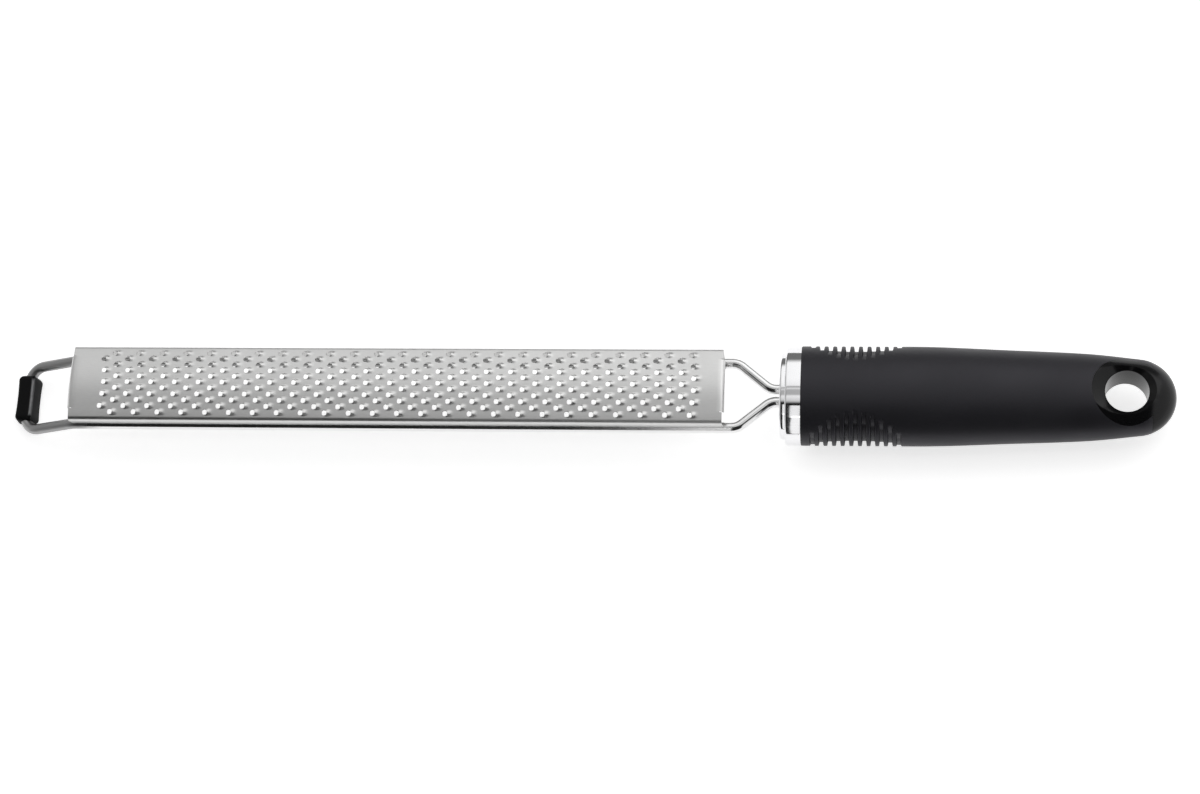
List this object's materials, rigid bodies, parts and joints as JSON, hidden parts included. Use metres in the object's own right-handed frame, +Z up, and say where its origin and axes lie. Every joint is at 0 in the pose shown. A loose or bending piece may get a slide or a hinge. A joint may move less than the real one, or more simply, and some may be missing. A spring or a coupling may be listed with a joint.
{
  "type": "rasp zester",
  "caption": "Long rasp zester: a toothed steel channel on a bent wire frame, with a rubber rest pad, a bright collar and an oval soft-grip handle with a hanging hole.",
  "frame": {"origin": "middle of the tool's length and width, on the surface that it lies on", "axes": "+X along the tool from the front loop to the tail of the handle, +Y across it, +Z up through the toothed face"},
  "size_m": [0.35, 0.0306, 0.021],
  "materials": {
    "blade_steel": "satin stainless sheet with a fine grain",
    "wire_steel": "polished round rod",
    "pad_rubber": "matte black rubber",
    "collar_chrome": "mirror bright",
    "core_plastic": "glossy hard black",
    "grip_rubber": "soft-touch black with a fine grain"
  },
  "bodies": {
    "root": {"blade": "blade_steel", "wire_frame": "wire_steel", "rest_pad": "pad_rubber", "ferrule": "collar_chrome", "handle_core": "core_plastic", "grip_sleeve": "grip_rubber"}
  },
  "joints": []
}
